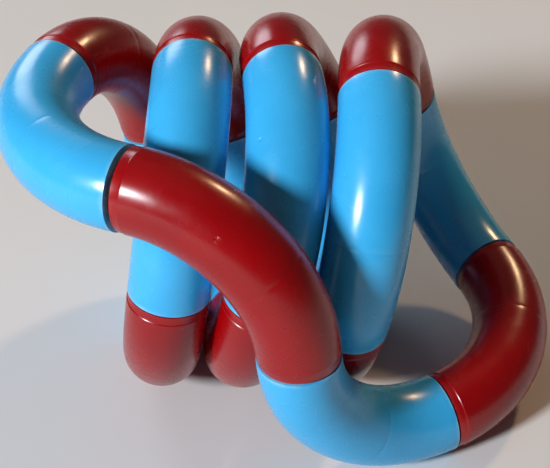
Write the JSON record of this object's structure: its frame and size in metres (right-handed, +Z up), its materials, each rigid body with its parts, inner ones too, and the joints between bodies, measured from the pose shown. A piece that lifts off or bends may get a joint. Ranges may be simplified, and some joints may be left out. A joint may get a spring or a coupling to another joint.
{
  "type": "twisty snake puzzle",
  "caption": "Closed chain of quarter-bend plastic tubes, alternately red and sky blue, that swivel on one another; wound into coils with a strand across the front.",
  "frame": {"origin": "centre of the bounding box on the ground plane that the chain rests on", "axes": "+Z up, +X along the row of coils, and the strand that crosses the coils is on the -Y side"},
  "size_m": [0.0768, 0.0654, 0.0531],
  "materials": {
    "tube_red": "glossy injection-moulded ABS",
    "tube_blue": "glossy injection-moulded ABS",
    "snap_stud": "natural acetal, satin",
    "socket_collar": "grey acetal, satin"
  },
  "bodies": {
    "segment_01": {"tube_01_red": "tube_red", "snap_stud_01": "snap_stud", "socket_collar_01": "socket_collar"},
    "segment_02": {"tube_02_blue": "tube_blue", "snap_stud_02": "snap_stud", "socket_collar_02": "socket_collar"},
    "segment_03": {"tube_03_red": "tube_red", "snap_stud_03": "snap_stud", "socket_collar_03": "socket_collar"},
    "segment_04": {"tube_04_blue": "tube_blue", "snap_stud_04": "snap_stud", "socket_collar_04": "socket_collar"},
    "segment_05": {"tube_05_red": "tube_red", "snap_stud_05": "snap_stud", "socket_collar_05": "socket_collar"},
    "segment_06": {"tube_06_blue": "tube_blue", "snap_stud_06": "snap_stud", "socket_collar_06": "socket_collar"},
    "segment_07": {"tube_07_red": "tube_red", "snap_stud_07": "snap_stud", "socket_collar_07": "socket_collar"},
    "segment_08": {"tube_08_blue": "tube_blue", "snap_stud_08": "snap_stud", "socket_collar_08": "socket_collar"},
    "segment_09": {"tube_09_red": "tube_red", "snap_stud_09": "snap_stud", "socket_collar_09": "socket_collar"},
    "segment_10": {"tube_10_blue": "tube_blue", "snap_stud_10": "snap_stud", "socket_collar_10": "socket_collar"},
    "segment_11": {"tube_11_red": "tube_red", "snap_stud_11": "snap_stud", "socket_collar_11": "socket_collar"},
    "segment_12": {"tube_12_blue": "tube_blue", "snap_stud_12": "snap_stud", "socket_collar_12": "socket_collar"},
    "segment_13": {"tube_13_red": "tube_red", "snap_stud_13": "snap_stud", "socket_collar_13": "socket_collar"},
    "segment_14": {"tube_14_blue": "tube_blue", "snap_stud_14": "snap_stud", "socket_collar_14": "socket_collar"},
    "segment_15": {"tube_15_red": "tube_red", "snap_stud_15": "snap_stud", "socket_collar_15": "socket_collar"},
    "segment_16": {"tube_16_blue": "tube_blue", "snap_stud_16": "snap_stud", "socket_collar_16": "socket_collar"},
    "segment_17": {"tube_17_red": "tube_red", "snap_stud_17": "snap_stud", "socket_collar_17": "socket_collar"},
    "segment_18": {"tube_18_blue": "tube_blue", "snap_stud_18": "snap_stud", "socket_collar_18": "socket_collar"}
  },
  "joints": [
    {"name": "swivel_01_02", "type": "hinge", "parent": "segment_02", "child": "segment_01", "pos_m": [0.00012, -0.02735, 0.02531], "axis": [0.0441, 0.0481, -0.9979], "range_deg": [-180, 0]},
    {"name": "swivel_02_03", "type": "hinge", "parent": "segment_03", "child": "segment_02", "pos_m": [0.02041, -0.0179, 0.00547], "axis": [0.9151, 0.3988, 0.0597], "range_deg": [0, 180]},
    {"name": "swivel_03_04", "type": "hinge", "parent": "segment_04", "child": "segment_03", "pos_m": [0.03123, 0.00968, 0.00952], "axis": [-0.4033, 0.9056, 0.1317], "range_deg": [-180, 0]},
    {"name": "swivel_04_05", "type": "hinge", "parent": "segment_05", "child": "segment_04", "pos_m": [0.01803, 0.02385, 0.03232], "axis": [-0.2209, -0.236, 0.9463], "range_deg": [0, 180]},
    {"name": "swivel_05_06", "type": "hinge", "parent": "segment_06", "child": "segment_05", "pos_m": [0.01203, -0.00155, 0.04693], "axis": [-0.0628, -0.9648, -0.2552], "range_deg": [0, 180]},
    {"name": "swivel_06_07", "type": "hinge", "parent": "segment_07", "child": "segment_06", "pos_m": [0.00729, -0.01641, 0.02141], "axis": [-0.1614, 0.2622, -0.9514], "range_deg": [0, 60]},
    {"name": "swivel_07_08", "type": "hinge", "parent": "segment_08", "child": "segment_07", "pos_m": [0.00911, 0.0091, 0.0059], "axis": [0.2475, 0.944, 0.2182], "range_deg": [0, 120]},
    {"name": "swivel_08_09", "type": "hinge", "parent": "segment_09", "child": "segment_08", "pos_m": [0.00595, 0.02681, 0.0298], "axis": [-0.3972, -0.1065, 0.9115], "range_deg": [0, 180]},
    {"name": "swivel_09_10", "type": "hinge", "parent": "segment_10", "child": "segment_09", "pos_m": [-0.00053, 0.00356, 0.04746], "axis": [0.0909, -0.9929, -0.0764], "range_deg": [0, 180]},
    {"name": "swivel_10_11", "type": "hinge", "parent": "segment_10", "child": "segment_11", "pos_m": [-0.004, -0.01636, 0.02542], "axis": [-0.2549, 0.051, -0.9656], "range_deg": [-180, 0]},
    {"name": "swivel_11_12", "type": "hinge", "parent": "segment_11", "child": "segment_12", "pos_m": [-0.00672, 0.00569, 0.0054], "axis": [0.1261, 0.9918, 0.0191], "range_deg": [-126, 0]},
    {"name": "swivel_12_13", "type": "hinge", "parent": "segment_12", "child": "segment_13", "pos_m": [-0.00817, 0.02679, 0.02655], "axis": [-0.1948, 0.0059, 0.9808], "range_deg": [-180, 0]},
    {"name": "swivel_13_14", "type": "hinge", "parent": "segment_13", "child": "segment_14", "pos_m": [-0.01271, 0.00577, 0.04734], "axis": [-0.0196, -0.9998, 0.0021], "range_deg": [-180, 0]},
    {"name": "swivel_14_15", "type": "hinge", "parent": "segment_14", "child": "segment_15", "pos_m": [-0.01651, -0.01535, 0.0265], "axis": [-0.1598, 0.0011, -0.9871], "range_deg": [-180, 0]},
    {"name": "swivel_15_16", "type": "hinge", "parent": "segment_15", "child": "segment_16", "pos_m": [-0.01837, 0.00577, 0.0054], "axis": [0.0717, 0.9974, -0.0105], "range_deg": [-180, 0]},
    {"name": "swivel_16_17", "type": "hinge", "parent": "segment_16", "child": "segment_17", "pos_m": [-0.01969, 0.02729, 0.02614], "axis": [-0.134, 0.0201, 0.9908], "range_deg": [-165, 0]},
    {"name": "swivel_17_18", "type": "hinge", "parent": "segment_17", "child": "segment_18", "pos_m": [-0.03117, 0.00842, 0.04631], "axis": [-0.4086, -0.912, -0.0368], "range_deg": [0, 180]}
  ],
  "couplings": [
    {"joint": "swivel_03_04", "follows": "swivel_02_03", "ratio": -1},
    {"joint": "swivel_05_06", "follows": "swivel_04_05", "ratio": 1},
    {"joint": "swivel_06_07", "follows": "swivel_07_08", "ratio": 0.5},
    {"joint": "swivel_09_10", "follows": "swivel_08_09", "ratio": 1},
    {"joint": "swivel_10_11", "follows": "swivel_08_09", "ratio": -1},
    {"joint": "swivel_13_14", "follows": "swivel_12_13", "ratio": 1},
    {"joint": "swivel_14_15", "follows": "swivel_15_16", "ratio": 1}
  ]
}
